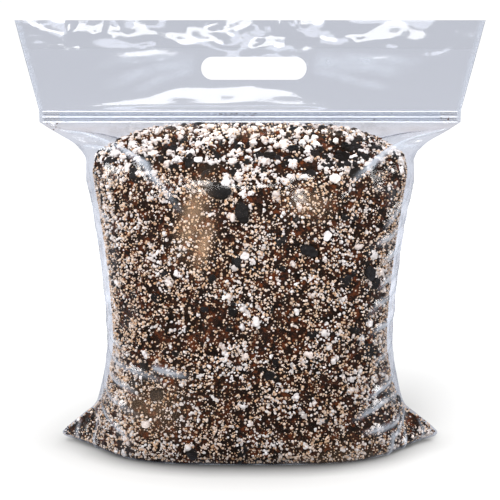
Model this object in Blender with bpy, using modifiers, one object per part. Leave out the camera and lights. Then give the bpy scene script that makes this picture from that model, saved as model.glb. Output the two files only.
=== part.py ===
"""A clear press-to-close bag of potting mix that stands on its flat bottom.

Metres, +Z up, the front faces -Y. The origin is on the floor, under the middle of the bag.

The bag is one film, folded at the bottom and welded up both sides, so its front and its back are
the same flat panel. That panel is a grid, lofted through stations: the flat base, the corner ears,
the full belly, the pinched shoulders, the zip and the header with its hand hole. Two plastic
strips close the zip. Inside is the mix, with its largest lumps as pieces of their own.
"""

import math
from collections import namedtuple

import bmesh
import bpy
from mathutils import Matrix, Vector, noise

# ---------------------------------------------------------------- driving dimensions, millimetres
MM = 0.001
FILM_THICKNESS = 0.15
MIX_INSET = 0.6                 # from the film's outside to the mix: the film and a 0.45 mm gap
FLOOR_FLATTENING = 0.3          # what lies lower than this is pressed flat on the floor

ZIP_HALF_WIDTH = 166.0          # a bag 13 inches wide, with its two side welds
ZIP_FOOT_Z = 263.0
ZIP_HEIGHT = 9.0
ZIP_HALF_GAP = 2.15             # half the thickness of the bag over the closed zip
HEADER_HEIGHT = 70.0
HEADER_TOP_HALF_WIDTH = 183.0
HEADER_HALF_GAP = 1.3

SLOT_WIDTH = 82.0
SLOT_HEIGHT = 17.8
SLOT_CENTRE = (3.0, 305.0)      # across, up
CUTTER_DEPTH = 14.0

STRIP_LENGTH = 300.0
STRIP_BACK_Y = 1.65             # the outer face of each strip, 0.3 mm inside the film
STRIP_BASE = 0.5
RIB_STEM_HALF = 0.25
RIB_HEAD_HALF = 0.55
RIB_HEAD_Y = (0.15, 0.8)        # where the arrow head starts and ends, across the zip
JAW_HALF = (0.85, 1.35)         # inside and outside of the two jaws, from the zip's mid height
JAW_LIP_HALF = 0.55
JAW_LIP_Y = (-0.8, -0.15)

COLUMNS = 24
BODY_ROWS = 30
ZIP_ROWS = 2
HEADER_ROWS = 3
WELD_EXPONENT = 16.0            # how squarely a flat stretch of the bag ends at its side weld
GRAIN_CLEARANCE = 0.35
GRAIN_DEPTH = 0.35              # how deep a lump's centre lies, in its own half thicknesses

# One station of the loft: how far up the film it is on the centre line; its half width and its
# height at the side weld; its depth and its height on the centre line; and the two exponents of
# its outline, where a high fullness squares it and a high sharpness pinches its ends.
Station = namedtuple("Station", "up half_width weld_z depth middle_z fullness sharpness")

BODY_STATIONS = [
    Station(0, 155.0, 8.0, 0.0, 0.0, 8.0, 0.40),         # the bottom fold, from ear to ear
    Station(12, 148.0, 14.5, 12.0, 0.0, 8.0, 0.40),
    Station(30, 137.0, 23.5, 30.0, 0.0, 6.5, 0.40),
    Station(50, 127.5, 31.5, 49.5, 0.0, 4.2, 0.38),
    Station(64, 124.0, 40.0, 62.5, 2.5, 3.1, 0.38),      # the front edge of the base
    Station(77, 121.5, 50.0, 69.0, 14.0, 2.8, 0.40),
    Station(98, 118.5, 63.0, 73.0, 35.0, 2.6, 0.40),
    Station(133, 114.5, 88.0, 77.0, 70.0, 2.5, 0.40),    # the waist
    Station(168, 114.8, 112.0, 78.5, 105.0, 2.5, 0.40),
    Station(208, 117.5, 146.0, 77.0, 145.0, 2.5, 0.40),
    Station(248, 122.0, 183.0, 73.0, 185.0, 2.5, 0.40),
    Station(278, 126.5, 212.0, 69.0, 215.0, 2.5, 0.40),
    Station(292, 128.3, 226.0, 65.5, 227.5, 2.5, 0.40),
    Station(304, 129.0, 236.0, 57.0, 236.5, 2.5, 0.42),  # the shoulder
]
FILM_STATIONS = BODY_STATIONS + [
    Station(323, 138.0, 246.0, 40.0, 246.0, 2.3, 0.60),
    Station(345, 154.0, 255.5, 20.0, 255.0, 2.1, 0.90),
    Station(365, ZIP_HALF_WIDTH, ZIP_FOOT_Z, 0.0, ZIP_FOOT_Z, 2.0, 1.10),
]
MIX_STATIONS = BODY_STATIONS + [
    Station(323, 123.0, 243.0, 40.0, 245.0, 2.5, 0.42),
    Station(345, 108.0, 248.0, 19.0, 252.5, 2.5, 0.42),
    Station(365, 88.0, 251.0, 0.0, 256.0, 2.5, 0.42),    # the top of the heap, under the zip
]
BODY_LENGTH = FILM_STATIONS[-1].up

# A lump of the mix that lies against the film: its place on the panel, as a part of the half
# width and of the film's length, its width, height and thickness, and its turn in degrees.
Grain = namedtuple("Grain", "name across up size turn")

CHARCOAL_LUMPS = [
    Grain("charcoal_lump_01", 0.56, 0.868, (19.0, 13.0, 9.0), 20),
    Grain("charcoal_lump_02", 0.29, 0.924, (16.0, 10.0, 8.0), -10),
    Grain("charcoal_lump_03", 0.62, 0.815, (15.0, 9.0, 8.0), 25),
    Grain("charcoal_lump_04", -0.19, 0.772, (22.0, 14.0, 10.0), -15),
    Grain("charcoal_lump_05", -0.05, 0.725, (12.0, 17.0, 9.0), 10),
    Grain("charcoal_lump_06", 0.12, 0.872, (12.0, 12.0, 8.0), 40),
    Grain("charcoal_lump_07", 0.37, 0.647, (16.0, 11.0, 8.0), -20),
    Grain("charcoal_lump_08", 0.79, 0.590, (11.0, 14.0, 8.0), 30),
    Grain("charcoal_lump_09", -0.63, 0.330, (14.0, 10.0, 8.0), 5),
    Grain("charcoal_lump_10", 0.13, 0.385, (10.0, 9.0, 7.0), 15),
]
PERLITE_GRAINS = [
    Grain("perlite_grain_01", -0.08, 0.912, (11.0, 10.0, 9.0), 0),
    Grain("perlite_grain_02", 0.06, 0.894, (10.5, 9.0, 8.0), 30),
    Grain("perlite_grain_03", -0.60, 0.880, (11.0, 10.0, 9.0), 60),
    Grain("perlite_grain_04", 0.50, 0.800, (10.5, 9.5, 8.0), 10),
    Grain("perlite_grain_05", -0.31, 0.858, (10.0, 9.0, 8.0), 45),
    Grain("perlite_grain_06", -0.03, 0.638, (8.5, 8.0, 7.0), 20),
    Grain("perlite_grain_07", 0.48, 0.676, (10.0, 8.0, 7.0), 70),
    Grain("perlite_grain_08", -0.69, 0.260, (9.5, 8.5, 7.0), 15),
]


# ---------------------------------------------------------------------- the panel, as a formula
def station_at(stations, up):
    """Read a smooth curve through the stations, at a distance up the film."""
    last = len(stations) - 1
    index = max(i for i in range(last) if stations[i].up <= up or i == 0)
    low, high = stations[index], stations[index + 1]
    before, after = stations[max(index - 1, 0)], stations[min(index + 2, last)]
    span = high.up - low.up
    part = (up - low.up) / span
    values = []
    for v0, v1, v2, v3 in zip(before, low, high, after):
        slope_low = (v2 - v0) / (high.up - before.up) * span
        slope_high = (v3 - v1) / (after.up - low.up) * span
        values.append(
            v1 * (1 + 2 * part) * (1 - part) ** 2 + slope_low * part * (1 - part) ** 2
            + v2 * part ** 2 * (3 - 2 * part) - slope_high * part ** 2 * (1 - part))
    return Station(*values)


def ease(part):
    part = min(max(part, 0.0), 1.0)
    return part * part * (3 - 2 * part)


def panel_point(stations, across, up):
    """A point of the front panel: across is -1 to 1 from weld to weld, up is along the film."""
    station = station_at(stations, min(up, BODY_LENGTH))
    edge = 1 - abs(across) ** station.fullness
    bulge = max(edge, 0.0) ** station.sharpness
    lift = (1 - bulge) ** (1 + 0.8 * ease(up / 60))
    z = station.middle_z + (station.weld_z - station.middle_z) * lift
    if z < 40:
        z = max(z - FLOOR_FLATTENING * (1 - ease(z / 40)), 0.0)
    half_width = station.half_width
    above_body = up - BODY_LENGTH
    if above_body > 0:
        z += above_body
        climb = max(above_body - ZIP_HEIGHT, 0.0) / HEADER_HEIGHT
        half_width += (HEADER_TOP_HALF_WIDTH - ZIP_HALF_WIDTH) * climb
    return Vector((half_width * across, -station.depth * bulge, z)) * MM


def film_gap(across, up):
    """Half the space between the two panels where they lie flat against each other."""
    above_zip = (up - BODY_LENGTH - ZIP_HEIGHT) / HEADER_HEIGHT
    gap = ZIP_HALF_GAP + (HEADER_HALF_GAP - ZIP_HALF_GAP) * ease(above_zip * 2)
    gap *= ease((up - 290) / (BODY_LENGTH - 290))
    return gap * (1 - abs(across) ** WELD_EXPONENT) ** (1 / WELD_EXPONENT) * MM


def film_point(across, up):
    return panel_point(FILM_STATIONS, across, up) + Vector((0, -film_gap(across, up), 0))


def mix_point(across, up):
    return panel_point(MIX_STATIONS, across, up)


# -------------------------------------------------------------------------- scene and materials
def clear_scene():
    for item in list(bpy.data.objects):
        bpy.data.objects.remove(item, do_unlink=True)


def new_collection(name):
    collection = bpy.data.collections.new(name)
    bpy.context.scene.collection.children.link(collection)
    return collection


def add_object(name, data, collection, material=None):
    item = bpy.data.objects.new(name, data)
    collection.objects.link(item)
    if material:
        data.materials.append(material)
    return item


def hide_as_cutter(item):
    item.hide_render = True
    item.display_type = "WIRE"
    return item


def make_material(name, colour, roughness, alpha=1.0):
    material = bpy.data.materials.new(name)
    material.use_nodes = True
    shader = material.node_tree.nodes["Principled BSDF"]
    shader.inputs["Base Color"].default_value = (*colour, 1)
    shader.inputs["Roughness"].default_value = roughness
    shader.inputs["Alpha"].default_value = alpha
    return material


# ---------------------------------------------------------------------------------- the pieces
def panel_mesh(name, point_at, rows):
    """A flat grid, its columns closer towards the welds, with each vertex set on the panel."""
    mesh = bpy.data.meshes.new(name)
    shape = bmesh.new()
    bmesh.ops.create_grid(shape, x_segments=COLUMNS, y_segments=len(rows) - 1, size=1.0)
    for vertex in shape.verts:
        across = math.sin(vertex.co.x * math.pi / 2)
        row = round((vertex.co.y + 1) / 2 * (len(rows) - 1))
        vertex.co = point_at(across, rows[row])
        if abs(vertex.co.y) < 1e-6:
            vertex.co.y = 0.0
    shape.to_mesh(mesh)
    shape.free()
    mesh.shade_smooth()
    return mesh


def even_rows(start, end, count):
    return [start + (end - start) * i / count for i in range(1, count + 1)]


def add_back_panel(item):
    """The back of the bag is the front turned round, joined to it at the welds and the fold."""
    mirror = item.modifiers.new("back panel", "MIRROR")
    mirror.use_axis = (False, True, False)
    mirror.merge_threshold = 0.00001


def make_bag_film(collection, cutters, material):
    zip_top = BODY_LENGTH + ZIP_HEIGHT
    rows = [0.0] + even_rows(0.0, BODY_LENGTH, BODY_ROWS)
    rows += even_rows(BODY_LENGTH, zip_top, ZIP_ROWS)
    rows += even_rows(zip_top, zip_top + HEADER_HEIGHT, HEADER_ROWS)
    film = add_object("bag_film", panel_mesh("bag_film", film_point, rows), collection, material)
    add_back_panel(film)
    wall = film.modifiers.new("film thickness", "SOLIDIFY")
    wall.thickness = FILM_THICKNESS * MM
    wall.offset = -1
    slot = film.modifiers.new("hand hole", "BOOLEAN")
    slot.object = make_slot_cutter(cutters)
    return film


def make_slot_cutter(cutters):
    """The die that cuts the hand hole: a cylinder pulled apart into a stadium."""
    mesh = bpy.data.meshes.new("hand_hole_die")
    shape = bmesh.new()
    radius = SLOT_HEIGHT / 2 * MM
    bmesh.ops.create_cone(
        shape, cap_ends=True, segments=32, radius1=radius, radius2=radius,
        depth=CUTTER_DEPTH * MM, matrix=Matrix.Rotation(math.pi / 2, 4, "X"))
    pull = (SLOT_WIDTH - SLOT_HEIGHT) / 2 * MM
    for vertex in shape.verts:
        if abs(vertex.co.x) > 1e-6:
            vertex.co.x += math.copysign(pull, vertex.co.x)
    shape.to_mesh(mesh)
    shape.free()
    die = add_object("hand_hole_die", mesh, cutters)
    die.location = (SLOT_CENTRE[0] * MM, 0, SLOT_CENTRE[1] * MM)
    return hide_as_cutter(die)


def make_zip_strip(name, outline, collection, material):
    """A strip's section, drawn as distance across the zip and up it, drawn out along the bag."""
    curve = bpy.data.curves.new(name, "CURVE")
    curve.dimensions = "2D"
    curve.fill_mode = "BOTH"
    curve.extrude = STRIP_LENGTH / 2 * MM
    section = curve.splines.new("POLY")
    section.points.add(len(outline) - 1)
    for point, (y, z) in zip(section.points, outline):
        point.co = (y * MM, z * MM, 0, 1)
    section.use_cyclic_u = True
    strip = add_object(name, curve, collection, material)
    strip.rotation_euler = (math.pi / 2, 0, math.pi / 2)
    strip.location = (0, 0, (ZIP_FOOT_Z + ZIP_HEIGHT / 2) * MM)
    return strip


def rib_outline():
    """The front strip: a flat base with one arrow-headed rib."""
    face = -STRIP_BACK_Y + STRIP_BASE
    neck, tip = RIB_HEAD_Y
    upper = [
        (face, ZIP_HEIGHT / 2), (face, RIB_STEM_HALF), (neck, RIB_STEM_HALF),
        (neck, RIB_HEAD_HALF), (tip, RIB_STEM_HALF)]
    lower = [(y, -z) for y, z in reversed(upper)]
    return [(-STRIP_BACK_Y, ZIP_HEIGHT / 2)] + upper + lower + [(-STRIP_BACK_Y, -ZIP_HEIGHT / 2)]


def groove_outline():
    """The back strip: a flat base with two hooked jaws that hold the rib."""
    face = STRIP_BACK_Y - STRIP_BASE
    inside, outside = JAW_HALF
    mouth, hook = JAW_LIP_Y
    upper = [
        (face, ZIP_HEIGHT / 2), (face, outside), (mouth, outside), (mouth, JAW_LIP_HALF),
        (hook, JAW_LIP_HALF), (hook, inside), (face, inside)]
    lower = [(y, -z) for y, z in reversed(upper)]
    return [(STRIP_BACK_Y, ZIP_HEIGHT / 2)] + upper + lower + [(STRIP_BACK_Y, -ZIP_HEIGHT / 2)]


def make_heap(name, collection, material=None):
    """The body of the mix as it fills the bag: the same panels, a film and a gap further in."""
    rows = [0.0] + even_rows(0.0, BODY_LENGTH, BODY_ROWS)
    heap = add_object(name, panel_mesh(name, mix_point, rows), collection, material)
    add_back_panel(heap)
    inset = heap.modifiers.new("inside the film", "DISPLACE")
    inset.strength = -MIX_INSET * MM
    inset.mid_level = 0
    return heap


def grain_frame(grain):
    """The place of a lump, with its thickness along the heap's inward normal."""
    up = grain.up * BODY_LENGTH
    surface = mix_point(grain.across, up)
    along = mix_point(grain.across + 0.01, up) - surface
    climb = mix_point(grain.across, up + 2) - surface
    outward = along.cross(climb).normalized()
    along.normalize()
    centre = surface - outward * (GRAIN_DEPTH * grain.size[2] / 2 + MIX_INSET) * MM
    axes = Matrix((along, outward.cross(along), outward)).transposed().to_4x4()
    return Matrix.Translation(centre) @ axes @ Matrix.Rotation(math.radians(grain.turn), 4, "Z")


def make_grain_shape(grain, name, roughness, growth, collection, material=None):
    """A broken lump: a coarse ball at the lump's size, pushed in and out by noise."""
    mesh = bpy.data.meshes.new(name)
    shape = bmesh.new()
    bmesh.ops.create_icosphere(shape, subdivisions=2, radius=0.5)
    seed = Vector((grain.across, grain.up, grain.turn)) * 37
    for vertex in shape.verts:
        swell = 1 + roughness * noise.noise(vertex.co * 3.5 + seed)
        vertex.co = Vector([
            direction * swell * (size + 2 * growth) * MM
            for direction, size in zip(vertex.co, grain.size)])
    shape.to_mesh(mesh)
    shape.free()
    lump = add_object(name, mesh, collection, material)
    lump.matrix_world = grain_frame(grain)
    return lump


def make_grain(grain, roughness, heap, parts, pockets, material):
    """A lump trimmed flush with the heap's surface, and the slightly larger pocket it sits in."""
    lump = make_grain_shape(grain, grain.name, roughness, 0.0, parts, material)
    flush = lump.modifiers.new("flush with the heap", "BOOLEAN")
    flush.operation = "INTERSECT"
    flush.object = heap
    pocket = make_grain_shape(grain, grain.name + "_pocket", roughness, GRAIN_CLEARANCE, pockets)
    hide_as_cutter(pocket)


def build():
    clear_scene()
    parts = new_collection("compost_bag")
    cutters = new_collection("cutters")
    pockets = new_collection("pockets")

    film = make_material("clear film", (0.80, 0.83, 0.88), 0.15, alpha=0.35)
    zip_plastic = make_material("zip strip", (0.86, 0.88, 0.92), 0.30)
    mix = make_material("potting mix", (0.085, 0.045, 0.025), 0.95)
    charcoal = make_material("charcoal", (0.012, 0.013, 0.015), 0.80)
    perlite = make_material("perlite", (0.80, 0.77, 0.74), 0.90)

    make_bag_film(parts, cutters, film)
    make_zip_strip("zip_rib_strip", rib_outline(), parts, zip_plastic)
    make_zip_strip("zip_groove_strip", groove_outline(), parts, zip_plastic)

    whole_heap = hide_as_cutter(make_heap("whole_heap", cutters))
    for grain in CHARCOAL_LUMPS:
        make_grain(grain, 0.45, whole_heap, parts, pockets, charcoal)
    for grain in PERLITE_GRAINS:
        make_grain(grain, 0.20, whole_heap, parts, pockets, perlite)

    heap = make_heap("potting_mix", parts, mix)
    hollows = heap.modifiers.new("pockets for the lumps", "BOOLEAN")
    hollows.operand_type = "COLLECTION"
    hollows.collection = pockets


build()
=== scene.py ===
# %% [markdown]
# # A clear zip bag of potting mix
#
# This lesson dresses a finished frame: a film bag with a zip and a hand hole, full of brown peat
# with white perlite and black charcoal. The frame fixes every size. The lesson makes what the eye
# wants: a film that creases because it has more length than the heap it wraps, and a filling made
# of tens of thousands of real grains.

# %% Load the frame
import math

import bpy
import numpy as np
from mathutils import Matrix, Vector, noise


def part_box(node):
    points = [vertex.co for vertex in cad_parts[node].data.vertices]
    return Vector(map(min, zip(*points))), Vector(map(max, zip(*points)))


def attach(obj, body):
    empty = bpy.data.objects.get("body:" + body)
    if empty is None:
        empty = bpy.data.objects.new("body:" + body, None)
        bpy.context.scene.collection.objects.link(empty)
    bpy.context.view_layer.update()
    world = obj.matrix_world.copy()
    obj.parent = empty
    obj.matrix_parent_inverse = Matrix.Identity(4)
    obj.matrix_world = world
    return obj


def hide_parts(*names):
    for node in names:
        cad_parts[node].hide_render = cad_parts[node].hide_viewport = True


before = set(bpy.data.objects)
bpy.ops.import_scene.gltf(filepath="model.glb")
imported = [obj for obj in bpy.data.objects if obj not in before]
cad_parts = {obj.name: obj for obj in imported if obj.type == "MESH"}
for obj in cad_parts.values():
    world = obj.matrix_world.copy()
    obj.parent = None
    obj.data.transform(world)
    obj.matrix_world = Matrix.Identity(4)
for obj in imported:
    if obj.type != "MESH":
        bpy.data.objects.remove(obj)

scene = bpy.context.scene
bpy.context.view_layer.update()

MM = 0.001
random = np.random.default_rng(7)


def pick(*objects):
    """Deselect everything, select these objects, and make the last one active."""
    if bpy.context.object and bpy.context.object.mode != "OBJECT":
        bpy.ops.object.mode_set(mode="OBJECT")
    bpy.ops.object.select_all(action="DESELECT")
    for item in objects:
        item.select_set(True)
        bpy.context.view_layer.objects.active = item


# %% [markdown]
# ## Colours and nodes
#
# Every colour below is an sRGB hex value, the way a paint or a print is described. Blender's
# shaders work in linear light, so one function turns the first into the second. One more function
# adds a shader node with its settings, its values and its links, which keeps each material short.

# %% Colours and nodes
def linear(hex_colour):
    """An sRGB hex colour as the linear values that a shader socket takes."""
    parts = [int(hex_colour[i:i + 2], 16) / 255 for i in (1, 3, 5)]
    return [p / 12.92 if p <= 0.04045 else ((p + 0.055) / 1.055) ** 2.4 for p in parts] + [1.0]


def add(material, kind, values=None, **settings):
    """Add a node. A value that is another node's socket is linked, and any other value is set."""
    tree = material.node_tree
    made = tree.nodes.new("ShaderNode" + kind)
    for name, value in settings.items():
        setattr(made, name, value)
    for name, value in (values or {}).items():
        if isinstance(value, bpy.types.NodeSocket):
            tree.links.new(value, made.inputs[name])
        else:
            made.inputs[name].default_value = value
    return made


def new_material(name):
    """An empty material, with its output node returned beside it."""
    material = bpy.data.materials.new(name)
    material.use_nodes = True
    material.node_tree.nodes.clear()
    return material, add(material, "OutputMaterial")


def finish_material(material, output, shader):
    material.node_tree.links.new(shader.outputs[0], output.inputs["Surface"])
    return material


# %% [markdown]
# ## Camera, light and floor
#
# A pack shot is lit so that the floor and the background melt into one white. A white floor under
# an even white sky does that, helped by a painted glow in the floor away from the bag, and the only
# shade left is the soft one where the bag meets the floor, deepened there by painted shade. Film
# also needs something bright to mirror, so large soft boxes stand in front of it and above it: their
# reflections draw the creases, helped by pale lines painted along them. The world is plain white to
# the camera, dimmer as fill light, and to a mirror it is a studio that is dark in front and pale
# behind.

# %% Camera
LENS = 92.0
CAMERA_DISTANCE = 1.027
CAMERA_RISE = math.radians(11.0)
TARGET_HEIGHT = 0.1602

camera_data = bpy.data.cameras.new("camera")
camera_data.lens = LENS
camera_data.sensor_width = 36.0
camera = bpy.data.objects.new("camera", camera_data)
scene.collection.objects.link(camera)
target = Vector((0, 0, TARGET_HEIGHT))
away = Vector((0, -math.cos(CAMERA_RISE), math.sin(CAMERA_RISE)))
camera.location = target + away * CAMERA_DISTANCE
camera.rotation_euler = (-away).to_track_quat("-Z", "Y").to_euler()
scene.camera = camera
scene.view_settings.view_transform = "Standard"
print("camera at", [round(v, 3) for v in camera.location])

# %% World
world = bpy.data.worlds.new("white studio")
scene.world = world
world.use_nodes = True
world.node_tree.nodes.clear()
ray = add(world, "LightPath")
direction = add(world, "TexCoord")
compass = add(world, "SeparateXYZ", {"Vector": direction.outputs["Generated"]})
behind = add(world, "MapRange", {
    "Value": compass.outputs["Y"], "From Min": -0.5, "From Max": 0.15, "To Min": 0.03, "To Max": 0.6})
fill = add(world, "MapRange", {
    "Value": ray.outputs["Is Diffuse Ray"], "To Min": 1.04, "To Max": 0.22})
white_sky = add(world, "Background", {"Color": linear("#ffffff"), "Strength": fill.outputs[0]})
low = add(world, "MapRange", {
    "Value": compass.outputs["Z"], "From Min": 0.35, "From Max": 0.75, "To Min": 1.0, "To Max": 0.06})
shine = add(world, "Math", {0: behind.outputs[0], 1: low.outputs[0]}, operation="MULTIPLY")
studio = add(world, "Background", {"Color": linear("#e8eefa"), "Strength": shine.outputs[0]})
sky = add(world, "MixShader", {
    "Fac": ray.outputs["Is Glossy Ray"], 1: white_sky.outputs[0], 2: studio.outputs[0]})
world_output = add(world, "OutputWorld", {"Surface": sky.outputs[0]})


# %% Lights
def soft_box(name, place, aim, width, height, power):
    """A rectangular soft light at a place, turned to face an aim point."""
    data = bpy.data.lights.new(name, "AREA")
    data.shape = "RECTANGLE"
    data.size = width
    data.size_y = height
    data.energy = power
    box = bpy.data.objects.new(name, data)
    scene.collection.objects.link(box)
    box.location = place
    box.rotation_euler = (Vector(aim) - Vector(place)).to_track_quat("-Z", "Y").to_euler()
    return box


soft_box("front box", (-0.1, -1.6, 0.95), (0, 0, 0.15), 1.3, 0.5, 13)
soft_box("left strip", (-1.3, -0.55, 0.75), (0, 0, 0.15), 0.5, 1.1, 13)
soft_box("right strip", (1.3, -0.55, 0.75), (0, 0, 0.15), 0.5, 1.1, 12)
for light in (
        soft_box("key light", (-0.5, -1.2, 1.3), (0, 0, 0.15), 0.6, 0.4, 23),
        soft_box("top light", (0.1, -0.05, 1.4), (0, 0, 0.2), 0.9, 0.6, 17)):
    light.visible_glossy = False

# %% [markdown]
# The floor is a large disc of matt white board. It glows more the further it is from the bag, a
# painted light that melts it into the background, and its colour darkens just under the bag's edge,
# a painted shade where little light gets.

# %% Floor
CONTACT_SHADE = 0.025
bpy.ops.mesh.primitive_circle_add(vertices=64, radius=9, fill_type="NGON", location=(0, 0, 0))
floor = bpy.context.object
floor.name = "floor"
floor_material, floor_output = new_material("white floor")
floor_place = add(floor_material, "TexCoord")
from_bag = add(floor_material, "VectorMath", {0: floor_place.outputs["Object"]}, operation="LENGTH")
# Painted light: the floor's glow rises from none by the bag to nearly full white far off.
painted_floor_glow = add(floor_material, "MapRange", {
    "Value": from_bag.outputs["Value"], "From Min": 0.09, "From Max": 0.55,
    "To Min": 0.0, "To Max": 0.95})
# Painted shade: the AO node darkens the floor's colour where the bag is near.
painted_contact_shade = add(floor_material, "AmbientOcclusion", {
    "Color": linear("#b4b4b4"), "Distance": CONTACT_SHADE})
floor_paint = add(floor_material, "BsdfPrincipled", {
    "Base Color": painted_contact_shade.outputs["Color"], "Roughness": 0.9, "Specular IOR Level": 0.0,
    "Emission Color": linear("#ffffff"), "Emission Strength": painted_floor_glow.outputs[0]})
floor.data.materials.append(finish_material(floor_material, floor_output, floor_paint))
floor.visible_glossy = False

# %% [markdown]
# ## The panel as a formula
#
# The whole bag is one film, folded at the bottom and welded up both sides, so front and back are
# the same flat panel. The frame was lofted through stations, each a cross-section at a distance up
# the film. The same stations are repeated here, because the fine film has to wrap the same bag.
# Each station gives the distance up the film, the half width and the height at the side weld, the
# depth and the height on the centre line, and two exponents that square and pinch its outline.

# %% The stations
STATIONS = np.array([
    (0, 155.0, 8.0, 0.0, 0.0, 8.0, 0.40),
    (12, 148.0, 14.5, 12.0, 0.0, 8.0, 0.40),
    (30, 137.0, 23.5, 30.0, 0.0, 6.5, 0.40),
    (50, 127.5, 31.5, 49.5, 0.0, 4.2, 0.38),
    (64, 124.0, 40.0, 62.5, 2.5, 3.1, 0.38),
    (77, 121.5, 50.0, 69.0, 14.0, 2.8, 0.40),
    (98, 118.5, 63.0, 73.0, 35.0, 2.6, 0.40),
    (133, 114.5, 88.0, 77.0, 70.0, 2.5, 0.40),
    (168, 114.8, 112.0, 78.5, 105.0, 2.5, 0.40),
    (208, 117.5, 146.0, 77.0, 145.0, 2.5, 0.40),
    (248, 122.0, 183.0, 73.0, 185.0, 2.5, 0.40),
    (278, 126.5, 212.0, 69.0, 215.0, 2.5, 0.40),
    (292, 128.3, 226.0, 65.5, 227.5, 2.5, 0.40),
    (304, 129.0, 236.0, 57.0, 236.5, 2.5, 0.42),
    (323, 138.0, 246.0, 40.0, 246.0, 2.3, 0.60),
    (345, 154.0, 255.5, 20.0, 255.0, 2.1, 0.90),
    (365, 166.0, 263.0, 0.0, 263.0, 2.0, 1.10),
])
BODY_LENGTH = 365.0
ZIP_HEIGHT = 9.0
HEADER_HEIGHT = 70.0
FILM_LENGTH = BODY_LENGTH + ZIP_HEIGHT + HEADER_HEIGHT
ZIP_HALF_WIDTH = 166.0
HEADER_TOP_HALF_WIDTH = 183.0
ZIP_HALF_GAP = 2.15
HEADER_HALF_GAP = 1.3


def ease(part):
    part = np.clip(part, 0.0, 1.0)
    return part * part * (3 - 2 * part)


def stations_at(ups):
    """Smooth curves through the stations, read at many distances up the film."""
    ups = np.minimum(ups, BODY_LENGTH)
    last = len(STATIONS) - 1
    low = np.clip(np.searchsorted(STATIONS[:, 0], ups, side="right") - 1, 0, last - 1)
    v0, v1 = STATIONS[np.maximum(low - 1, 0)], STATIONS[low]
    v2, v3 = STATIONS[low + 1], STATIONS[np.minimum(low + 2, last)]
    span = (v2 - v1)[:, :1]
    part = (ups[:, None] - v1[:, :1]) / span
    slope_low = (v2 - v0) / (v2 - v0)[:, :1] * span
    slope_high = (v3 - v1) / (v3 - v1)[:, :1] * span
    return (v1 * (1 + 2 * part) * (1 - part) ** 2 + slope_low * part * (1 - part) ** 2
            + v2 * part ** 2 * (3 - 2 * part) - slope_high * part ** 2 * (1 - part))


def panel(ups, across):
    """Points of the film's front panel, in millimetres: one row for each distance up it."""
    _, half_width, weld_z, depth, middle_z, fullness, sharpness = stations_at(ups).T[:, :, None]
    across = np.broadcast_to(across, (len(ups), np.shape(across)[-1]))
    bulge = np.maximum(1 - np.abs(across) ** fullness, 0) ** sharpness
    up = ups[:, None]
    lift = (1 - bulge) ** (1 + 0.8 * ease(up / 60))
    z = middle_z + (weld_z - middle_z) * lift
    z = np.where(z < 40, np.maximum(z - 0.3 * (1 - ease(z / 40)), 0), z)
    above = np.maximum(up - BODY_LENGTH, 0)
    climb = np.maximum(above - ZIP_HEIGHT, 0) / HEADER_HEIGHT
    z = z + above
    half_width = half_width + (HEADER_TOP_HALF_WIDTH - ZIP_HALF_WIDTH) * climb
    gap = ZIP_HALF_GAP + (HEADER_HALF_GAP - ZIP_HALF_GAP) * ease(climb * 2)
    gap = gap * ease((up - 290) / (BODY_LENGTH - 290)) * (1 - np.abs(across) ** 16) ** (1 / 16)
    return np.stack([half_width * across, -depth * bulge - gap, z], axis=2)


def even_panel(ups, columns):
    """The same panel with its columns evenly spaced round each row, as a flat film's would be."""
    fine = np.sin(np.linspace(-math.pi / 2, math.pi / 2, 601))
    rows = panel(ups, fine[None, :])
    steps = np.linalg.norm(np.diff(rows, axis=1), axis=2)
    run = np.concatenate([np.zeros((len(ups), 1)), np.cumsum(steps, axis=1)], axis=1)
    even = np.empty((len(ups), columns + 1, 3))
    for i in range(len(ups)):
        marks = np.linspace(0, run[i, -1], columns + 1)
        for axis in range(3):
            even[i, :, axis] = np.interp(marks, run[i], rows[i, :, axis])
    return even


print("film from weld to weld at the waist:",
      round(float(np.linalg.norm(np.diff(panel(np.array([168.0]), np.linspace(-1, 1, 400)[None])[0],
                                         axis=0), axis=1).sum())), "mm of", 2 * ZIP_HALF_WIDTH)


# %% [markdown]
# ## The heap of mix
#
# Inside the film the mix is one soft heap, pressed flat wherever the film holds it. Its dark body
# is peat: fine, damp and almost black in its gaps. A voxel remesh turns a copy of the frame's heap
# into an even skin, which first serves as the place where grains are laid. Then it sinks a little
# and is roughened, so that the grains stand proud of it.

# %% Copy the heap and even out its skin
def copy_of_node(node, name):
    """A merged copy of one of the frame's nodes, as a new object."""
    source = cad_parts[node]
    copy = bpy.data.objects.new(name, source.data.copy())
    scene.collection.objects.link(copy)
    copy.data.materials.clear()
    pick(copy)
    bpy.ops.object.mode_set(mode="EDIT")
    bpy.ops.mesh.select_all(action="SELECT")
    bpy.ops.mesh.remove_doubles(threshold=0.000005)
    bpy.ops.object.mode_set(mode="OBJECT")
    return copy


def apply_modifier(item, kind, **settings):
    """Add a modifier with these settings and apply it at once."""
    modifier = item.modifiers.new(kind.lower(), kind)
    for name, value in settings.items():
        setattr(modifier, name, value)
    pick(item)
    bpy.ops.object.modifier_apply(modifier=modifier.name)


def coordinates(mesh):
    flat = np.empty(len(mesh.vertices) * 3)
    mesh.vertices.foreach_get("co", flat)
    return flat.reshape(-1, 3)


def set_coordinates(mesh, points):
    mesh.vertices.foreach_set("co", np.ascontiguousarray(points, dtype=float).ravel())
    mesh.update()


SKIN_VOXEL = 2.4 * MM
heap = copy_of_node("potting_mix", "peat_body")
apply_modifier(heap, "REMESH", mode="VOXEL", voxel_size=SKIN_VOXEL, use_smooth_shade=True)
print("heap skin:", len(heap.data.polygons), "faces")

# %% [markdown]
# The film stands off the mix beside the welds and over the top of the heap, where nothing presses
# it on. So the skin draws in there by a few millimetres, which shows as a clear edge round the mix.
# Low down it is the other way round: the weight above presses the mix out into the corners.
# Poured mix also piles up in the middle, so its top rises in a low crown under the zip.

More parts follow.
